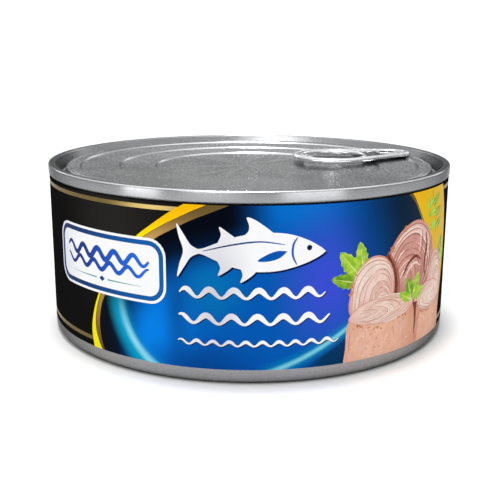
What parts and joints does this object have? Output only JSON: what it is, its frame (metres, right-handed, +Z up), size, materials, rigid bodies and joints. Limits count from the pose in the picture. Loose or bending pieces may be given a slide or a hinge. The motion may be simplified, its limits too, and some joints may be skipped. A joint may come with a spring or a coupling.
{
  "type": "tuna can",
  "caption": "Short wide round food can with a printed wall, bare metal seam and heel, and an easy-open lid with a ring pull.",
  "frame": {"origin": "centre of the underside, on the surface that the can stands on", "axes": "+Z up along the can's axis; the middle of the label faces -Y; the ring pull lies towards +X, turned 18.5 degrees towards +Y"},
  "size_m": [0.0874, 0.0874, 0.036],
  "materials": {
    "label_print": "gloss lacquered print on metal: blue, black, yellow and gold fields",
    "lid_metal": "satin, fine radial grain, bright seam",
    "ring_metal": "bright satin, rolled edge"
  },
  "bodies": {
    "root": {"can_body": "label_print", "lid": "lid_metal", "ring_pull": "ring_metal"}
  },
  "joints": []
}
